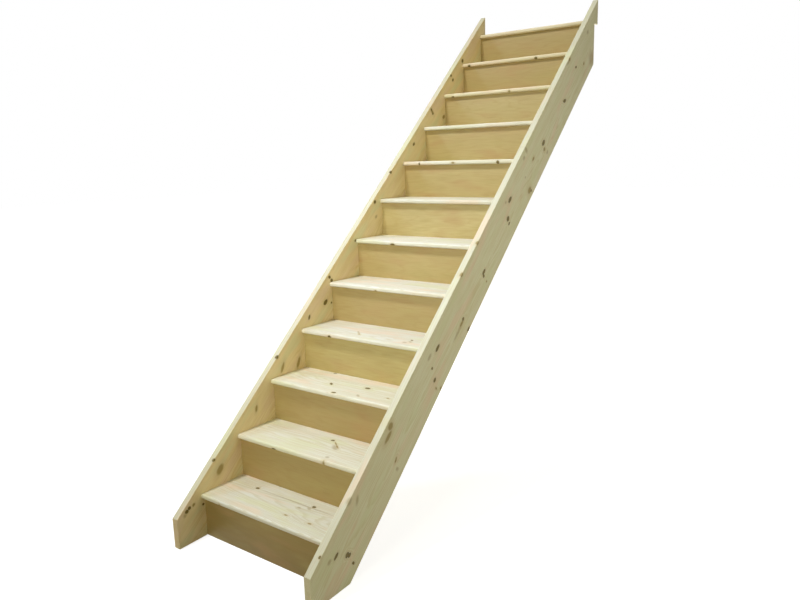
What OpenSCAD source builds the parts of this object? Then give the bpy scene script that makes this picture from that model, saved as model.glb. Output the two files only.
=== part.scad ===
// Straight closed-string stair in pine, for one storey.
// Treads and risers are let into tapered housings in the two strings and wedged from below.
// Each riser stands behind the tread below it and is tongued into the tread above it; the top one
// stops level with the landing's trimmer, under the nosing.
// X runs across the stair, +Y towards the landing, +Z up. The origin lies on the landing face,
// the plane of the top riser's back and of both strings' upper plumb cuts, on the centre line.

/* [Flight] */
// Number of risers from the floor to the landing
risers = 12; // [4:1:15]
// Height of one step
rise = 200; // [160:1:240]
// Depth of one step, from riser face to riser face
going = 225; // [180:1:300]
// Clear width between the two strings
clear_width = 736; // [500:1:1100]

/* [Strings] */
// Thickness of each string board
string_t = 32; // [25:0.5:45]
// Board left above the line of the nosings, square to the slope
margin = 40; // [20:1:80]
// Board left below the line of the riser feet, square to the slope
under_cover = 46; // [36:1:80]
// How far the strings stand out in front of the first riser
foot_reach = 148; // [60:1:200]
// How far the horns lie over the landing's trimmer
horn_reach = 50; // [30:1:90]
// Rounding of the two upper edges
edge_round = 1.5; // [0.5:0.1:3]

/* [Treads] */
// Thickness of the treads and of the landing nosing
tread_t = 22; // [18:0.5:32]
// How far a tread stands out over the riser below it
nosing = 16; // [10:1:25]
// Rounding of the nosing, above and below
nosing_round = 8; // [4:0.5:8.8]

/* [Risers] */
// Thickness of the plywood risers
riser_t = 9; // [6:0.5:15]
// Depth of a riser's top edge in the groove under its tread
tongue = 6; // [3:0.5:8]

/* [Housings] */
// Depth of the housings in the strings
housing_d = 12; // [8:0.5:15]
// Room behind the end of a board in its housing
end_room = 0.5; // [0.2:0.1:1]
// Room in front of a nosing, and beside and above a riser's tongue
fit_room = 0.3; // [0.2:0.1:0.6]

/* [Wedges] */
// Thickness of a wedge at its thin end
wedge_tip = 4; // [3:0.5:6]
// Thickness of a wedge where the board that it holds ends
wedge_head = 15; // [10:0.5:17]
// Solid timber between a tread's wedge and the riser's wedge above it
wedge_land = 14; // [8:1:20]
// Height of the lowest wedges over the floor
floor_room = 3; // [1:1:10]

/* [Glue blocks] */
// Blocks glued under each tread
blocks = 3; // [1:1:4]
// Length of a block
block_len = 75; // [40:1:90]
// Width of a block on the tread and on the riser
block_leg = 38; // [25:1:60]

/* [Origin] */
// Height of the landing over the origin
origin_drop = 100; // [40:1:140]

/* [Hidden] */
$fn = 48;
treads = risers - 1;
half_clear = clear_width / 2;
board_len = clear_width + 2 * (housing_d - end_room);
slope = atan(rise / going);
top_lift = rise * (1 + nosing / going) + margin / cos(slope);
low_lift = -under_cover / cos(slope);
face_y = (risers - 1) * going + riser_t;
horn_y = face_y + horn_reach;
trimmer_z = risers * rise - tread_t;
heel_y = -low_lift * going / rise;
wedge_y = riser_t + wedge_tip + wedge_land;
wedge_taper = (wedge_head - wedge_tip) / (going - wedge_y);
riser_taper = (wedge_head - wedge_tip) / rise;
run_out = under_cover + going;
cut_over = 1;

pine = "#e6cf9c";
pine_board = "#ecd9ab";
birch_ply = "#d9bf86";
deal = "#cfae72";

function two_digits(n) = n < 10 ? str("0", n) : str(n);
function names(stem, count) = [for (n = [1:count]) str(stem, two_digits(n))];
TREADS = names("tread_", treads);
RISERS = names("riser_", risers);

// ---- places -------------------------------------------------------------------------------

// Everything is drawn from the foot of the first riser and moved to the origin once
module from_landing() translate([0, -face_y, origin_drop - risers * rise]) children();

// The corner of step n: the riser's front face and the tread's upper face
module at_step(n) translate([0, (n - 1) * going, n * rise]) children();

// A profile in the plane of going and rise, drawn out across the stair from x1 to x2
module across(x1, x2) translate([x1, 0, 0]) rotate([90, 0, 90]) linear_extrude(x2 - x1) children();

// The same corner in the plane of the profiles
module corner(n) translate([(n - 1) * going, n * rise]) children();

// The right-hand piece as it is drawn, or its mirror image on the left
module on_side(side) {
    if (side == "right") children();
    else mirror([1, 0, 0]) children();
}

// ---- profiles -----------------------------------------------------------------------------

function pitch_at(y) = y * rise / going;

// The string from its foot to its horn, with both plumb cuts and the seat over the trimmer
module string_outline() polygon([
    [-foot_reach, 0],
    [-foot_reach, pitch_at(-foot_reach) + top_lift],
    [horn_y, pitch_at(horn_y) + top_lift],
    [horn_y, trimmer_z],
    [face_y, trimmer_z],
    [face_y, pitch_at(face_y) + low_lift],
    [heel_y, 0]
]);

// A tread's end: a flat board whose front edge is rounded above and below
module board_end(front, back) {
    translate([front + nosing_round, -tread_t]) square([back - front - nosing_round, tread_t]);
    translate([front, nosing_round - tread_t]) square([nosing_round, tread_t - 2 * nosing_round]);
    for (z = [-nosing_round, nosing_round - tread_t])
        translate([front + nosing_round, z]) circle(nosing_round);
}

// The space for a tread's wedge, from its thin end to past the string's lower edge
module tread_wedge_space() {
    back = going + run_out;
    polygon([
        [wedge_y, -tread_t],
        [wedge_y, -tread_t - wedge_tip],
        [back, -tread_t - wedge_tip - (back - wedge_y) * wedge_taper],
        [back, -tread_t]
    ]);
}

// A riser's slot, widened downwards for its wedge, to a depth below the tread above it
module riser_slot(depth) polygon([
    [0, -tread_t],
    [0, -tread_t - depth],
    [riser_t + wedge_tip + depth * riser_taper, -tread_t - depth],
    [riser_t + wedge_tip, -tread_t]
]);

// ---- strings ------------------------------------------------------------------------------

// A bar of the string's section, drawn along the slope, with its upper edges rounded
module string_bar() {
    length = (horn_y + foot_reach) / cos(slope) + 2 * top_lift;
    depth = (top_lift - low_lift) * cos(slope) + top_lift;
    translate([half_clear, horn_y, pitch_at(horn_y) + top_lift])
        rotate([90 + slope, 0, 0])
            translate([0, -depth, -top_lift])
                linear_extrude(length) {
                    square([string_t, depth - edge_round]);
                    translate([edge_round, 0]) square([string_t - 2 * edge_round, depth]);
                    for (x = [edge_round, string_t - edge_round])
                        translate([x, depth - edge_round]) circle(edge_round);
                }
}

module step_housing(n) corner(n) {
    if (n < risers) {
        board_end(-nosing - fit_room, going);
        tread_wedge_space();
        riser_slot(rise + run_out);
    }
    else {
        board_end(-nosing - fit_room, going);
        translate([0, -tread_t - rise]) square([going, rise + tread_t]);
    }
}

module string(side) color(pine_board) from_landing() on_side(side) difference() {
    intersection() {
        string_bar();
        across(half_clear, half_clear + string_t) string_outline();
    }
    for (n = [1:risers])
        across(half_clear - cut_over, half_clear + housing_d) step_housing(n);
}

// ---- treads and risers --------------------------------------------------------------------

module nosed_board(back) across(-board_len / 2, board_len / 2) board_end(-nosing, back);

// The groove in a tread's underside takes the tongue of the riser below it
module tread(n) color(pine) from_landing() at_step(n) difference() {
    nosed_board(going);
    translate([-board_len / 2 - cut_over, 0, -tread_t - cut_over])
        cube([board_len + 2 * cut_over, riser_t + fit_room, tongue + fit_room + cut_over]);
}

// The landing nosing has no groove: it lies on the top riser and on the trimmer, level with each other
module landing_nosing() color(pine) from_landing() at_step(risers) nosed_board(riser_t + horn_reach);

// The first riser stands on the floor, the others reach down behind the tread below
module riser(n) color(birch_ply) from_landing() at_step(n) {
    foot = n == 1 ? 0 : tread_t;
    head = n == risers ? -tread_t : tongue - tread_t;
    translate([-board_len / 2, 0, -rise - foot]) cube([board_len, riser_t, rise + foot + head]);
}

// ---- wedges and blocks --------------------------------------------------------------------

module wedge(profile_n) across(half_clear, half_clear + housing_d - end_room)
    intersection() {
        string_outline();
        corner(profile_n) children();
    }

module tread_wedges(side) color(deal) from_landing() on_side(side)
    for (n = [1:treads]) wedge(n) tread_wedge_space();

module riser_wedges(side) color(deal) from_landing() on_side(side)
    for (n = [1:treads]) {
        foot = n == 1 ? floor_room - tread_t : 0;
        wedge(n) difference() {
            riser_slot(rise - foot);
            translate([-cut_over, -rise - tread_t]) square([riser_t + cut_over, rise + tread_t]);
            translate([0, -tread_t - wedge_tip]) square([going, wedge_tip + cut_over]);
        }
    }

module glue_blocks() color(deal) from_landing()
    for (n = [1:treads], i = [1:blocks]) {
        x = (i / (blocks + 1) - 0.5) * clear_width;
        at_step(n) across(x - block_len / 2, x + block_len / 2)
            polygon([
                [riser_t, -tread_t],
                [riser_t + block_leg, -tread_t],
                [riser_t, -tread_t - block_leg]
            ]);
    }

// ---- the nodes ----------------------------------------------------------------------------

string("left");  // left_string
string("right");  // right_string
landing_nosing();
for (n = [1:treads])
    tread(n);
for (n = [1:risers])
    riser(n);
tread_wedges("left");  // left_tread_wedges
tread_wedges("right");  // right_tread_wedges
riser_wedges("left");  // left_riser_wedges
riser_wedges("right");  // right_riser_wedges
glue_blocks();
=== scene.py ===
import math

import bpy
import numpy as np
from mathutils import Euler, Matrix, Vector


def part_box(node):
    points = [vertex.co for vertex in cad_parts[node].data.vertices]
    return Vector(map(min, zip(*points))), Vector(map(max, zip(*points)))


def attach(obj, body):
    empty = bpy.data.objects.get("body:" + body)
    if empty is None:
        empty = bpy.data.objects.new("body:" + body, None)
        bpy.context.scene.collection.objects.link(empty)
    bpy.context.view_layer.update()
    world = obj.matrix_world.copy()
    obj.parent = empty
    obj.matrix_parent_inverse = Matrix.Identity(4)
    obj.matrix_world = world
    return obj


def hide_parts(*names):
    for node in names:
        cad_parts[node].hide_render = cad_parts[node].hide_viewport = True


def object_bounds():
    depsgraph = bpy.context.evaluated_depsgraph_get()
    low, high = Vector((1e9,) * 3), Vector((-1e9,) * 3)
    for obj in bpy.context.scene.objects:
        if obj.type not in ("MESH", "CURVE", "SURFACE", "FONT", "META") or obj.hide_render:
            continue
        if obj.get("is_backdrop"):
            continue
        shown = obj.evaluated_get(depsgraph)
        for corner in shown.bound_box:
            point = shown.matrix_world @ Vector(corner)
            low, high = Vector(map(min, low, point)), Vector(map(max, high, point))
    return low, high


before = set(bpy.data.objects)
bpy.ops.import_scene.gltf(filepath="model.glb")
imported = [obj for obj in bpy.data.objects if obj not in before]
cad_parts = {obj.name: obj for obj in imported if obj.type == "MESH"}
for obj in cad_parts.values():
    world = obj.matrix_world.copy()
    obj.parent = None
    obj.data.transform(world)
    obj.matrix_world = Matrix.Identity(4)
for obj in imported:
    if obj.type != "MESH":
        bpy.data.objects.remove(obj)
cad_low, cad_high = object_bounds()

scene = bpy.context.scene


# ---- the standpoint -------------------------------------------------------------------------
# Someone stands in front of the stair's foot and off to its right, at eye height, and looks
# across the flight and a little down. The head leans slightly to one side.
floor_z = cad_low.z
first_riser_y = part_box("riser_01")[0].y
flight_middle = Vector((0, first_riser_y + 1.1, floor_z + 1.1))
eye = Vector((2.018, first_riser_y - 1.763, floor_z + 1.607))
turned_left, looking_down, leaning = math.radians(36.22), math.radians(11.33), math.radians(1.55)

gaze = Euler((math.pi / 2 - looking_down, 0, turned_left)).to_matrix()
camera = bpy.data.objects.new("camera", bpy.data.cameras.new("camera"))
camera.matrix_world = Matrix.Translation(eye) @ (gaze @ Matrix.Rotation(-leaning, 3, "Z")).to_4x4()
camera.data.lens = 31.28
camera.data.sensor_width = 36
scene.collection.objects.link(camera)
scene.camera = camera
scene.view_settings.view_transform = "Standard"


# ---- the floor and the room -----------------------------------------------------------------
# A plain white studio floor that runs out to a white room. It throws back less light than it
# shows, as a matt floor in a big room does, and keeps the stair's shadow.
def linear(code):
    """The linear colour of an sRGB hex value, with an alpha of 1."""
    parts = [int(code[i : i + 2], 16) / 255 for i in (1, 3, 5)]
    return [c / 12.92 if c <= 0.04045 else ((c + 0.055) / 1.055) ** 2.4 for c in parts] + [1]


def add(tree, kind, inputs=(), **settings):
    """Adds a node to a tree. inputs gives its sockets values, nodes or outputs, in order or by name."""
    made = tree.nodes.new("ShaderNode" + kind)
    for key, value in settings.items():
        setattr(made, key, value)
    for key, value in inputs.items() if isinstance(inputs, dict) else enumerate(inputs):
        if isinstance(value, bpy.types.Node):
            value = value.outputs[0]
        if isinstance(value, bpy.types.NodeSocket):
            tree.links.new(value, made.inputs[key])
        else:
            made.inputs[key].default_value = value
    return made


def new_material(name):
    """An empty node material, and its tree."""
    made = bpy.data.materials.new(name)
    made.use_nodes = True
    made.node_tree.nodes.clear()
    return made, made.node_tree


def seen_rays(tree):
    """1 for a ray of the camera, a mirror or a glass, and 0 for the rays that carry light on."""
    path = add(tree, "LightPath").outputs
    seen = add(tree, "Math", (path["Is Camera Ray"], path["Is Glossy Ray"]), operation="MAXIMUM")
    return add(tree, "Math", (seen, path["Is Transmission Ray"]), operation="MAXIMUM")


# close to the flight the floor glows less, and its matt paint carries the shadow; further off it
# is plain white
floor_half = 30.0
glow_from, glow_to = 1.8, 4.2
white_paint, tree = new_material("floor_matt_white")
place = add(tree, "TexCoord").outputs["Object"]
from_stair = add(tree, "VectorMath", (place, flight_middle), operation="SUBTRACT")
away = add(tree, "VectorMath", (from_stair,), operation="LENGTH").outputs["Value"]
glow = add(tree, "MapRange", (away, glow_from, glow_to, 0.8, 1.0), interpolation_type="SMOOTHSTEP")
matt = add(tree, "BsdfDiffuse", {"Color": linear("#b4b4b4")})
lit = add(tree, "Emission", {"Color": linear("#ffffff"), "Strength": glow})
seen_floor = add(tree, "AddShader", (matt, lit))
true_floor = add(tree, "BsdfDiffuse", {"Color": linear("#90897a")})
add(tree, "OutputMaterial", (add(tree, "MixShader", (seen_rays(tree), true_floor, seen_floor)),))

floor_corners = floor_half * np.array(((-1, -1, 0), (1, -1, 0), (1, 1, 0), (-1, 1, 0))) + (0, 0, floor_z)
mesh = bpy.data.meshes.new("floor")
mesh.from_pydata(floor_corners.tolist(), [], [(0, 1, 2, 3)])
floor = bpy.data.objects.new("floor", mesh)
floor.data.materials.append(white_paint)
scene.collection.objects.link(floor)
floor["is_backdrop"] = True

room_light = 0.16
world = bpy.data.worlds.new("room")
scene.world = world
world.use_nodes = True
tree = world.node_tree
tree.nodes.clear()
walls = add(tree, "Background", {"Color": linear("#fff0a0"), "Strength": room_light})
white = add(tree, "Background", {"Color": linear("#ffffff"), "Strength": 1.0})
add(tree, "OutputWorld", (add(tree, "MixShader", (seen_rays(tree), walls, white)),))


# ---- the lamps ------------------------------------------------------------------------------
# One lamp in a high ceiling, before the stair's foot, gives the treads their light and the
# nosings their short shadows. Soft panels to the front, the side and the back fill the rest.
def panel_lamp(name, place, size, watts, colour, spread):
    """A square lamp of a size in metres, turned to the flight's middle. spread is its beam in degrees."""
    lamp = bpy.data.lights.new(name, "AREA")
    lamp.size = size
    lamp.energy = watts
    lamp.color = linear(colour)[:3]
    lamp.spread = math.radians(spread)
    made = bpy.data.objects.new(name, lamp)
    made.location = place
    made.rotation_euler = (flight_middle - Vector(place)).to_track_quat("-Z", "Y").to_euler()
    scene.collection.objects.link(made)


panel_lamp("lamp_over_foot", (-1.1, first_riser_y - 0.7, floor_z + 6.6), 0.6, 73, "#f6faff", 100)
panel_lamp("lamp_to_the_left", (-3.8, first_riser_y, floor_z + 4.6), 0.6, 10, "#b7cdff", 60)
panel_lamp("lamp_in_front", (0.4, first_riser_y - 3.4, floor_z + 2.3), 1.2, 12, "#fffff8", 60)
panel_lamp("lamp_to_the_right", (4.0, flight_middle.y, floor_z + 1.7), 2.0, 15, "#fffef6", 100)
panel_lamp("lamp_right_of_top", (2.4, first_riser_y + 2.6, floor_z + 5.0), 0.5, 3.2, "#fffef6", 100)
panel_lamp("lamp_behind", (-0.2, 2.9, floor_z + 0.8), 1.0, 50, "#fffef6", 120)
panel_lamp("lamp_low_on_the_left", (-3.8, flight_middle.y + 0.2, floor_z + 0.5), 1.5, 22, "#fffef6", 100)


# ---- the strings ----------------------------------------------------------------------------
# Two planed pine boards, 32 mm thick and 246 mm deep, cut to the slope. The steps are housed in
# their inner faces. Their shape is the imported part's own; the timber is made here.
def unevenness(tree, local, seed, *speeds):
    """Slow noises, one for each speed. A speed is how many times the noise changes in a millimetre
    along, across and through the timber, and how much finer detail it has."""
    noises = []
    for i, (scale, detail) in enumerate(speeds):
        moved = add(tree, "Mapping", {
            "Vector": local, "Location": (seed + 7 * i, 7 * i, seed), "Scale": scale})
        noises.append(add(tree, "TexNoise", {"Vector": moved, "Scale": 1.0, "Detail": detail}))
    return noises


def stained(tree, timber, *stains):
    """Lays stains over a colour. Each is a pattern, the two values of it between which the stain
    comes or goes, the stain's share of the colour at each of them, and its own colour."""
    for pattern, start, end, at_start, at_end, colour in stains:
        share = add(tree, "MapRange", (pattern, start, end, at_start, at_end),
                    interpolation_type="SMOOTHSTEP")
        timber = add(tree, "Mix", {0: share, 6: timber, 7: linear(colour)}, data_type="RGBA").outputs[2]
    return timber


def pine(name, along, across, origin, dead=(), live=(), buried=(), pith=(40, -70), lean=(0.0, 0.0),
         ring=4.2, stave=0.0, joint=0.0, early="#e8e6d5", late="#d2c9a4", edge=("#fffeea", 0.0),
         seed=0.0, rough=0.55):
    """Planed Scots pine: pale earlywood and narrow tan latewood, satin where it is planed.

    along and across are the board's grain and face directions, and origin a point on its face. In
    millimetres from there, the growth rings are the distance from a pith that runs along the
    board, bent by slow noise and pushed aside by each knot. pith is its place across and out of
    the face, lean how far its line is turned out of the board's, and ring a year's growth. stave
    and joint are the width of a glued stave and the place of a glue line.

    dead, live and buried are the knots with a bark rim, those of red-brown wood and those just
    under the face. Each is its place along and across the board, its half length and its half
    width. It may add its turn in degrees, and for a knot on an edge its depth in the board and
    half of what it takes up there. edge is a painted highlight on the board's long edges: its
    tone and its share.
    """
    made, tree = new_material(name)
    turn = Matrix((along, across, along.cross(across)))
    local = add(tree, "Mapping", {
        "Vector": add(tree, "TexCoord").outputs["Object"], "Scale": (1000, 1000, 1000),
        "Rotation": turn.to_euler(), "Location": -1000 * (turn @ Vector(origin))})

    # the fibre is drawn about 4 mm wide, far coarser than the real one, so that it shows
    bend, waver, ripple, streak, tint, fibre = unevenness(
        tree, local, seed,
        ((0.0012, 0.006, 0.006), 1.0),
        ((0.09, 0.09, 0.02), 2.0),
        ((0.006, 0.05, 0.05), 2.0),
        ((0.0022, 0.035, 0.035), 3.0),
        ((0.003, 0.013, 0.013), 2.0),
        ((0.01, 0.25, 0.25), 4.0))

    # knots are not quite round: the distance to each is read from a place that wavers by 2 mm.
    # One with no depth of its own goes right through the board
    sway = 5.0
    through = 1e6
    wavering = add(tree, "VectorMath", (waver.outputs["Color"], (sway, sway, 0), local),
                   operation="MULTIPLY_ADD")
    distances = []
    for knots in (dead, live, buried):
        least = 9.0
        for knot in knots:
            x, y, half_length, half_width, tilt, deep, half_deep = knot + (0, 0, through)[len(knot) - 4 :]
            reach = add(tree, "Mapping", {
                "Vector": wavering, "Location": (x + sway / 2, y + sway / 2, deep),
                "Rotation": (0, 0, math.radians(tilt)),
                "Scale": (half_length, half_width, half_deep)}, vector_type="TEXTURE")
            distance = add(tree, "VectorMath", (reach,), operation="LENGTH").outputs["Value"]
            least = add(tree, "Math", (distance, least), operation="MINIMUM")
        distances.append(least)
    near_dead, near_live, near_buried = distances
    near_any = add(tree, "Math", (near_dead, near_live), operation="MINIMUM")

    # growth rings, and in a glued board a new piece of timber in each stave
    bow = 50.0
    bent = add(tree, "VectorMath", (bend.outputs["Color"], (0, bow, bow), local), operation="MULTIPLY_ADD")
    glue_line = 1.0
    if stave:
        y = add(tree, "SeparateXYZ", (local,)).outputs[1]
        staves = add(tree, "Math", (y, 1 / stave, -joint / stave), operation="MULTIPLY_ADD")
        number = add(tree, "Math", (staves,), operation="FLOOR")
        own_number = add(tree, "Math", (number, seed), operation="ADD")
        lot = add(tree, "TexWhiteNoise", {"W": own_number}, noise_dimensions="1D")
        bent = add(tree, "VectorMath", (lot.outputs["Color"], (0, 90, 60), bent), operation="MULTIPLY_ADD")
        glue_line = add(tree, "Math", (staves, 1.0), operation="PINGPONG")
    turned = add(tree, "Mapping", {
        "Vector": bent, "Rotation": (0, lean[0], lean[1]),
        "Location": (0, -pith[0] - bow / 2, -pith[1] - bow / 2)})
    flat = add(tree, "VectorMath", (turned, (0, 1, 1)), operation="MULTIPLY")
    radius = add(tree, "VectorMath", (flat,), operation="LENGTH").outputs["Value"]
    push, wave = 9.0, 7.0
    aside = add(tree, "MapRange", (near_any, 0.3, 3.2, push, 0.0), interpolation_type="SMOOTHSTEP")
    pushed = add(tree, "Math", (radius, aside), operation="ADD")
    wavy = add(tree, "Math", (ripple, wave, pushed), operation="MULTIPLY_ADD")
    years = add(tree, "Math", (wavy, 1 / ring), operation="MULTIPLY")
    phase = add(tree, "Math", (years,), operation="FRACT")
    rising = add(tree, "MapRange", (phase, 0.35, 0.9), interpolation_type="SMOOTHSTEP")
    falling = add(tree, "MapRange", (phase, 0.93, 1.0, 1.0, 0.0), interpolation_type="SMOOTHSTEP")
    grown = add(tree, "Math", (rising, falling), operation="MULTIPLY")

    # the long edges get a painted highlight tone, and end grain drinks light
    normal = add(tree, "NewGeometry").outputs["Normal"]
    facing = []
    for way in (across, along):
        turned_to = add(tree, "VectorMath", (normal, way), operation="DOT_PRODUCT").outputs["Value"]
        facing.append(add(tree, "Math", (turned_to,), operation="ABSOLUTE"))
    edgeways, endways = facing
    timber = stained(
        tree, linear(early),
        (grown, 0.0, 1.0, 0.0, 0.55, late),             # latewood
        (streak, 0.35, 0.7, 0.0, 0.35, late),           # years of broad latewood
        (edgeways, 0.8, 0.98, 0.0, edge[1], edge[0]),   # the long edges
        (tint, 0.32, 0.48, 0.5, 0.0, "#ecd2b4"),        # heartwood, a little pink
        (tint, 0.52, 0.68, 0.0, 0.5, "#dcdeb0"),        # sapwood, a little green
        (fibre, 0.4, 0.7, 0.0, 0.22, "#c6aa70"),
        (glue_line, 0.0, 0.012, 0.35, 0.0, "#a08a58"),
        (near_buried, 0.3, 1.3, 0.55, 0.0, "#a08b54"),
        (near_any, 0.9, 2.4, 0.42, 0.0, "#cdb988"),     # resin in the timber round a knot
        (near_live, 0.55, 1.15, 0.8, 0.0, "#937c36"),
        (near_dead, 0.9, 1.15, 0.95, 0.0, "#50430a"),   # a dead knot's bark, and its heart
        (near_dead, 0.45, 0.85, 0.9, 0.0, "#766420"),
        (endways, 0.55, 0.95, 0.0, 0.4, "#b08d55"))
    relief = add(tree, "Math", (grown, 0.35, fibre), operation="MULTIPLY_ADD")
    gloss = add(tree, "MapRange", (fibre, 0.3, 0.7, rough - 0.05, rough + 0.1))
    surface = add(tree, "BsdfPrincipled", {
        "Base Color": timber, "Roughness": gloss, "IOR": 1.45,
        "Normal": add(tree, "Bump", {"Strength": 0.35, "Distance": 0.00025, "Height": relief})})
    add(tree, "OutputMaterial", (surface,))
    return made


def finish_node(node, material):
    """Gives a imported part's node its material."""
    node.data.materials.clear()
    node.data.materials.append(material)


# places along a string are from the point of its upper edge over the first riser's face, and
# places across it are negative below that edge. The point is top_over_floor above the floor
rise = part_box("tread_02")[1].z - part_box("tread_01")[1].z
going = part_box("tread_02")[1].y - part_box("tread_01")[1].y
slope = math.atan2(rise, going)
up_slope = Vector((0, math.cos(slope), math.sin(slope)))
square_to_slope = Vector((0, -math.sin(slope), math.cos(slope)))
top_over_floor = 0.2677

right_dead = [
    (-116, 0, 7, 5, 0, -6, 5), (-78, -82, 15, 7), (-49, -143, 12, 9), (-44, -157, 10, 8), (-58, -204, 6, 8),
    (772, -168, 11, 8), (797, -112, 6, 6), (885, -82, 20, 8), (1108, -163, 9, 7), (1105, -238, 14, 6),
    (1382, -150, 17, 8), (1368, -163, 8, 8), (1722, -140, 14, 12), (1715, -167, 10, 6), (1800, -84, 20, 10),
    (2003, -220, 8, 6), (2275, -132, 19, 12), (2632, -140, 19, 9, -25), (2876, -97, 10, 7, -25),
]
right_live = [
    (372, -163, 15, 6, 20), (415, -45, 36, 12), (455, -27, 20, 17), (752, -205, 6, 8), (775, -238, 10, 6),
    (1085, -168, 24, 9), (1240, -3, 15, 8, 0, -2, 10), (1368, -205, 6, 6), (1435, -3, 13, 8, 0, -2, 10),
    (1990, -205, 24, 17), (2128, -112, 16, 8), (2262, -165, 14, 12), (2830, -10, 14, 10, 0, 0, 12),
    (2983, -152, 13, 8),
]
right_buried_and_painted_shade = [
    (-110, -60, 14, 10), (110, -3, 20, 14, 0, 0, 14), (135, -45, 24, 10, 36), (350, -200, 10, 12),
    (820, -58, 22, 10), (1040, -172, 60, 10), (1760, -62, 11, 9), (1998, -120, 9, 5), (2095, -22, 14, 22),
    (2050, -35, 16, 10), (2280, -202, 16, 10), (2810, -12, 34, 9), (3140, -50, 18, 12),
    # the last is no knot but painted shade along the string's top end
    (3100, -200, 50, 45),
]
left_dead = [
    (-148, -22, 9, 8), (-131, -24, 8, 8), (-85, -82, 6, 6), (90, 0, 8, 7, 0, -4, 7),
    (648, 0, 10, 8, 0, -4, 9), (923, -45, 12, 6, 25), (1053, -87, 17, 10), (1080, -125, 5, 5),
    (1165, -20, 8, 9), (1164, -44, 9, 9), (1440, -42, 8, 6), (1704, -17, 10, 9),
    (1925, -3, 10, 7, 0, -3, 8), (2203, -42, 11, 7), (2483, -18, 6, 7), (2480, -45, 8, 6),
    (2797, -10, 8, 7), (2797, -43, 10, 7), (2970, -28, 12, 9),
]
left_live = [
    (-110, -35, 9, 7), (75, -60, 30, 17, 10), (393, -58, 19, 8, 35), (632, -66, 30, 9, 25),
    (713, -140, 34, 10, 25), (2482, -32, 10, 22), (2560, -137, 16, 12),
]
left_buried = [(-165, -25, 12, 10), (1655, -82, 14, 9)]
# the left string is painted warmer than the right, partly its own tone and partly the warm light bounced
# onto its inner face; each string's last colour is a painted highlight on its long edges
for side, dead, live, buried, seed, early, late, edge in (
        ("left", left_dead, left_live, left_buried, 3.0, "#f1e0b1", "#dbc482", "#b7c2b9"),
        ("right", right_dead, right_live, right_buried_and_painted_shade, 8.0, "#eae8c8", "#d4cb98", "#bdbcb2")):
    right_face_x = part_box(f"{side}_string")[1].x
    edge_point = (right_face_x, first_riser_y, floor_z + top_over_floor)
    timber = pine(f"pine_{side}_string", up_slope, square_to_slope, edge_point, dead, live, buried,
                  pith=(-140, -95), lean=(0.004, 0.012), early=early, late=late, edge=(edge, 0.5),
                  seed=seed)
    finish_node(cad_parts[f"{side}_string"], timber)


# ---- the treads and the landing nosing ------------------------------------------------------
# Boards of edge-glued pine staves, 22 mm thick, with a rounded nosing in front. Each is pushed
# into its housings from behind, and takes the tongue of the riser under it in a groove.
def rounded(corners):
    """A closed outline through corners (y, z, radius), each turned by an arc of that radius.

    The arc starts and ends where it touches the two sides, and its points step evenly in angle.
    """
    points = []
    for i, (y, z, radius) in enumerate(corners):
        here = np.array((y, z))
        back = np.array(corners[i - 1][:2]) - here
        ahead = np.array(corners[(i + 1) % len(corners)][:2]) - here
        back, ahead = back / np.linalg.norm(back), ahead / np.linalg.norm(ahead)
        half = math.acos(np.clip(back @ ahead, -1, 1)) / 2
        centre = here + (back + ahead) / np.linalg.norm(back + ahead) * radius / math.sin(half)
        start = here + back * radius / math.tan(half) - centre
        end = here + ahead * radius / math.tan(half) - centre
        first = math.atan2(start[1], start[0])
        sweep = (math.atan2(end[1], end[0]) - first + math.pi) % (2 * math.pi) - math.pi
        count = 1 if radius == 0 else 3 if radius < 0.002 else 17
        angles = first + sweep * np.linspace(0, 1, count)
        points.append(centre + radius * np.stack((np.cos(angles), np.sin(angles)), 1))
    return np.concatenate(points)


def new_piece(name, points, faces, material):
    """A piece of the stair from its points and faces, smooth but for edges sharper than 35 degrees."""
    mesh = bpy.data.meshes.new(name)
    mesh.from_pydata(points.tolist(), [], faces)
    mesh.validate()
    mesh.shade_smooth()
    mesh.set_sharp_from_angle(angle=math.radians(35))
    mesh.materials.append(material)
    made = bpy.data.objects.new(name, mesh)
    scene.collection.objects.link(made)
    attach(made, "root")
    return made


def carried_board(name, outline, x1, x2, ease, material):
    """A board: an outline in y and z carried from x1 to x2, with its two end arrises eased.

    At each end the outline is drawn in by the easing along its own normals, over the same length.
    A station is a place along the board, and the share of the easing that the outline has there.
    """
    ahead = np.roll(outline, -1, 0) - np.roll(outline, 1, 0)
    outward = np.stack((ahead[:, 1], -ahead[:, 0]), 1) / np.linalg.norm(ahead, axis=1)[:, None]
    stations = np.array((
        (x1, 1), (x1 + 0.3 * ease, 0.3), (x1 + ease, 0),
        (x2 - ease, 0), (x2 - 0.3 * ease, 0.3), (x2, 1)))
    rings = outline[None] - outward[None] * (stations[:, 1] * ease)[:, None, None]
    count = len(outline)
    grid = np.concatenate((np.broadcast_to(stations[:, :1, None], (len(stations), count, 1)), rings), 2)
    i = np.arange(count)
    j = np.roll(i, -1)
    rows = np.arange(len(stations) - 1)[:, None] * count
    quads = np.stack((rows + i, rows + j, rows + count + j, rows + count + i), 2).reshape(-1, 4)
    last = (len(stations) - 1) * count
    ends = [list(range(count))[::-1], list(range(last, last + count))]
    return new_piece(name, grid.reshape(-1, 3), quads.tolist() + ends, material)


arris = 0.0006
nosing_round = 0.008
groove_room = 0.0003
along_tread, across_tread = Vector((1, 0, 0)), Vector((0, 1, 0))

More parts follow.
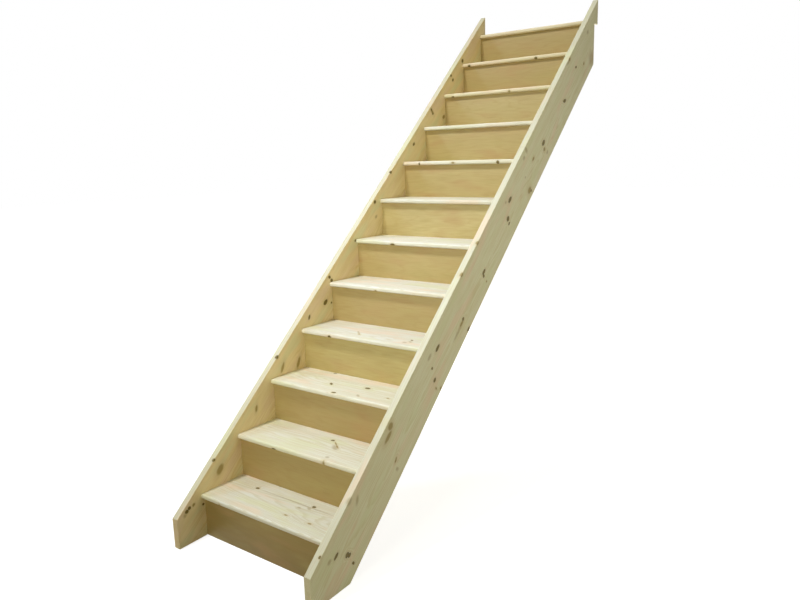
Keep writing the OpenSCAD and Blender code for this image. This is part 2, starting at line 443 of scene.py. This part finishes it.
# places along a tread are from its middle, and places across it from its riser's face
tread_dead = {
    1: [(-200, 160, 10, 7), (130, 170, 9, 7)],
    2: [(52, 165, 10, 6), (-135, -14, 12, 8, 0, -19, 6)],
    3: [(-73, 85, 14, 6, -40), (113, 122, 13, 9), (18, -3, 12, 7), (-165, 217, 10, 5)],
    4: [(238, 76, 9, 5, -40), (-185, -15, 9, 8, 0, -18, 8)],
    6: [(-125, -15, 14, 8, 0, -19, 7)],
    8: [(246, -15, 8, 8, 0, -14, 9), (-254, -15, 5, 8, 0, -14, 8)],
    10: [(-303, -15, 9, 8, 0, -20, 5)],
    11: [(-318, -15, 9, 8, 0, -17, 7), (140, -15, 9, 8, 0, -16, 8)],
}
tread_live = {
    1: [(77, 57, 11, 5), (208, 59, 11, 5), (-250, -15, 8, 8, 0, -20, 6)],
    2: [(88, 144, 22, 3.5, -38), (114, 123, 20, 4.5, -38), (158, -12, 10, 8, -30, -12, 12)],
    3: [(272, 62, 9, 5)],
    4: [(-50, 48, 13, 5, -45)],
    5: [(-70, -14, 8, 8, 0, -19, 5)],
    8: [(-30, -15, 12, 8, 0, -12, 6)],
    10: [(81, -15, 9, 8, 0, -15, 8)],
}
tread_buried = {
    1: [(118, 152, 18, 9, -30), (80, 132, 12, 7), (50, 158, 240, 5)],
    2: [(112, 110, 32, 14, -38), (150, 18, 12, 9)],
    3: [(138, 22, 18, 8, -40)],
    4: [(-76, 74, 28, 6, -45), (228, 32, 14, 11), (248, 50, 14, 8, -45)],
}

# the boards' tones differ: treads 1 and 7 are greyer and the top three warmer, and treads 4 to 6 are
# painted whiter as highlight; all but the top three also get a painted highlight on their nosing fronts
painted_nosing_highlight = {"edge": ("#fffeea", 0.4)}
grey = {"early": "#e2e0d0", "late": "#ccc4a0", "edge": ("#fffeea", 0.25)}
white = {"early": "#e8e7dc", "late": "#d2caab"} | painted_nosing_highlight
warm = {"early": "#f0e6c6", "late": "#dccb98"}
board_tones_and_painted_highlights = {1: grey, 7: grey} | dict.fromkeys((4, 5, 6), white) | dict.fromkeys((10, 11, 12), warm)

stave_width = 95.0
tread_count = len([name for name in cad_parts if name.startswith("tread_")])
for n in range(1, tread_count + 2):
    node = f"tread_{n:02d}" if n <= tread_count else "landing_nosing"
    low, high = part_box(node)
    riser_low, riser_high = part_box(f"riser_{n:02d}")
    groove_back, groove_top = riser_high.y + groove_room, riser_high.z + groove_room
    corners = [
        (low.y, low.z, nosing_round), (riser_low.y, low.z, 0), (riser_low.y, groove_top, 0),
        (groove_back, groove_top, 0), (groove_back, low.z, 0), (high.y, low.z, arris),
        (high.y, high.z, arris), (low.y, high.z, nosing_round)]
    has_groove = riser_high.z > low.z + 1e-6
    if not has_groove:
        corners = [corners[0]] + corners[5:]
    timber = pine(f"pine_{node}", along_tread, across_tread, (0, riser_low.y, high.z),
                  tread_dead.get(n, ()), tread_live.get(n, ()), tread_buried.get(n, ()),
                  pith=(100 + 17 * n % 60, -60 - 23 * n % 70), lean=(0.02, 0.03 - 0.01 * (n % 5)),
                  stave=stave_width, joint=63.0 + 37 * (n - 1) % stave_width, seed=20.0 + 7.3 * n,
                  **board_tones_and_painted_highlights.get(n, painted_nosing_highlight))
    board = carried_board(f"pine_{node}", rounded(corners), low.x, high.x, arris, timber)
    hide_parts(node)


# ---- the risers -----------------------------------------------------------------------------
# 9 mm plywood, cut from sheets with the face veneer's grain running across the stair. Five plies
# show on its edges.
def plywood(name, origin, seed, face, figure_tone):
    """Sanded plywood: a rotary-cut face veneer with a broad wavy figure, and crossed plies inside.

    In millimetres from a corner of the sheet, the figure is the contour lines of a slow noise that
    is stretched along the grain. The plies follow from the depth in the sheet. The fibre is drawn
    about 4 mm wide, far coarser than the real one, so that it shows.
    """
    made, tree = new_material(name)
    local = add(tree, "Mapping", {
        "Vector": add(tree, "TexCoord").outputs["Object"], "Scale": (1000, 1000, 1000),
        "Location": -1000 * Vector(origin)})
    swell, cloud, tint, fibre = unevenness(
        tree, local, seed,
        ((0.0016, 0.0, 0.012), 2.0),
        ((0.003, 0.0, 0.01), 2.0),
        ((0.004, 0.0, 0.014), 2.0),
        ((0.01, 0.0, 0.22), 4.0))
    contour_count = 11.0
    height = add(tree, "Math", (swell, contour_count), operation="MULTIPLY")
    contours = add(tree, "Math", (height,), operation="FRACT")
    rising = add(tree, "MapRange", (contours, 0.5, 0.85), interpolation_type="SMOOTHSTEP")
    falling = add(tree, "MapRange", (contours, 0.88, 1.0, 1.0, 0.0), interpolation_type="SMOOTHSTEP")
    lines = add(tree, "Math", (rising, falling), operation="MULTIPLY")

    # five plies: the second and fourth run up the riser, and show end grain at its ends
    sheet_thickness, ply_thickness = 9.0, 1.8
    depth = add(tree, "SeparateXYZ", (local,)).outputs[1]
    from_core = add(tree, "Math", (depth, sheet_thickness / 2), operation="SUBTRACT")
    off_core = add(tree, "Math", (from_core,), operation="ABSOLUTE")
    plies_off = add(tree, "Math", (off_core, ply_thickness), operation="DIVIDE")
    ply = add(tree, "Math", (plies_off,), operation="ROUND")
    crossed = add(tree, "Math", (ply, 2.0), operation="MODULO")
    veneer = stained(
        tree, linear(face),
        (lines, 0.0, 1.0, 0.0, 0.35, figure_tone),
        (cloud, 0.35, 0.7, 0.0, 0.35, "#c2b57a"),
        (tint, 0.25, 0.5, 0.5, 0.0, "#d2ac7c"),
        (tint, 0.5, 0.75, 0.0, 0.5, "#c6c880"),
        (fibre, 0.4, 0.7, 0.0, 0.26, "#ae9a5b"),
        (crossed, 0.0, 1.0, 0.0, 0.6, "#9c7847"))
    gloss = add(tree, "MapRange", (fibre, 0.3, 0.7, 0.5, 0.65))
    surface = add(tree, "BsdfPrincipled", {
        "Base Color": veneer, "Roughness": gloss, "IOR": 1.45,
        "Normal": add(tree, "Bump", {"Strength": 0.3, "Distance": 0.0002, "Height": fibre})})
    add(tree, "OutputMaterial", (surface,))
    return made


# each riser comes from whatever sheet is at hand, so the veneers' faces and figures differ in tone. The
# first riser is also painted much darker, as shade near the floor, and risers 6 to 10 lighter, as painted
# light
usual, light = ("#cfc788", "#bcae6d"), ("#dfd998", "#ccbe7b")
sheet_tones_and_painted_light = dict.fromkeys((6, 8, 9), light) | {
    1: ("#868846", "#767335"), 2: ("#c7c07c", "#b3a662"), 4: ("#ebeba2", "#d6ce82"),
    5: ("#d5cf92", "#c3b676"), 7: ("#f2f0ae", "#dad18b"), 10: ("#e4dfa1", "#cec281")}
for n in range(1, tread_count + 2):
    node = f"riser_{n:02d}"
    low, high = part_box(node)
    corners = [
        (low.y, low.z, arris), (high.y, low.z, arris),
        (high.y, high.z, arris), (low.y, high.z, arris)]
    sheet = plywood(f"plywood_{node}", low, 5.1 * n, *sheet_tones_and_painted_light.get(n, usual))
    board = carried_board(f"plywood_{node}", rounded(corners), low.x, high.x, arris, sheet)
    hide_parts(node)


# ---- the screws -----------------------------------------------------------------------------
# Countersunk 4 mm screws, zinc plated, go through each riser's foot into the back edge of the
# tread under it. Only their heads show, a little proud of the plywood, each with a cross recess.
def screw_heads(name, places, material):
    """Screw heads that face +Y, as one piece, with their rims' centres at the places.

    A head is turned from a profile of (radius, height, lobes) in millimetres: at an angle a from
    the first arm of the recess, the radius is stretched by 1 + lobes * cos(4 a).
    """
    radius, height, lobes = np.array((
        (0.3, -1.7, 0.3), (0.9, -1.6, 0.4), (1.6, 0.2, 0.35), (1.9, 0.35, 0.1),
        (3.7, 0.35, 0), (4.0, 0.15, 0), (4.0, -0.1, 0), (2.0, -2.2, 0))).T[:, :, None]
    angles = np.linspace(0, 2 * math.pi, 32, endpoint=False)
    reach = radius / 1000 * (1 + lobes * np.cos(4 * angles))
    height = np.broadcast_to(height / 1000, reach.shape)
    head = np.stack((reach * np.cos(angles), height, reach * np.sin(angles)), 2).reshape(-1, 3)
    i = np.arange(len(angles))
    j = np.roll(i, -1)
    rows = np.arange(len(radius) - 1)[:, None] * len(angles)
    quads = np.stack((rows + i, rows + j, rows + len(angles) + j, rows + len(angles) + i), 2).reshape(-1, 4)
    faces = quads.tolist() + [i[::-1].tolist(), (i + len(head) - len(angles)).tolist()]
    points = np.concatenate([head + np.array(place) for place in places])
    firsts = [len(head) * k for k in range(len(places))]
    all_faces = [[v + first for v in face] for first in firsts for face in faces]
    new_piece(name, points, all_faces, material)


# zinc plating has a cool grey shine, clouded in patches about a millimetre wide
zinc, tree = new_material("steel_zinc_plated")
place = add(tree, "TexCoord").outputs["Object"]
clouds = add(tree, "TexNoise", {"Vector": place, "Scale": 900.0, "Detail": 2.0})
gloss = add(tree, "MapRange", (clouds, 0.3, 0.7, 0.28, 0.45))
plated = add(tree, "BsdfPrincipled", {
    "Base Color": linear("#c9c7c0"), "Metallic": 1.0, "Roughness": gloss})
add(tree, "OutputMaterial", (plated,))

screws_across = (-0.3, -0.1, 0.1, 0.3)
places = []
for n in range(2, tread_count + 2):
    tread_low, tread_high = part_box(f"tread_{n - 1:02d}")
    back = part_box(f"riser_{n:02d}")[1].y
    places += [(x, back, (tread_low.z + tread_high.z) / 2) for x in screws_across]
screw_heads("riser_screws", places, zinc)


# ---- the wedges and the glue blocks ---------------------------------------------------------
# Sawn softwood. The wedges are driven into the tapered housings behind the treads and risers, and
# the blocks are rubbed with glue into the corner behind each riser.
rightwards, forwards, upwards = Vector((1, 0, 0)), Vector((0, 1, 0)), Vector((0, 0, 1))
for node, along, across in (
        ("left_tread_wedges", forwards, upwards), ("right_tread_wedges", forwards, upwards),
        ("left_riser_wedges", upwards, forwards), ("right_riser_wedges", upwards, forwards),
        ("glue_blocks", rightwards, forwards)):
    deal = pine(f"sawn_{node}", along, across, (0, 0, 0), pith=(300, -500), ring=3.1,
                early="#e3cf9f", late="#c79f62", seed=40.0, rough=0.75)
    finish_node(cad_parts[node], deal)


# ---- sizes ----------------------------------------------------------------------------------
low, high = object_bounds()
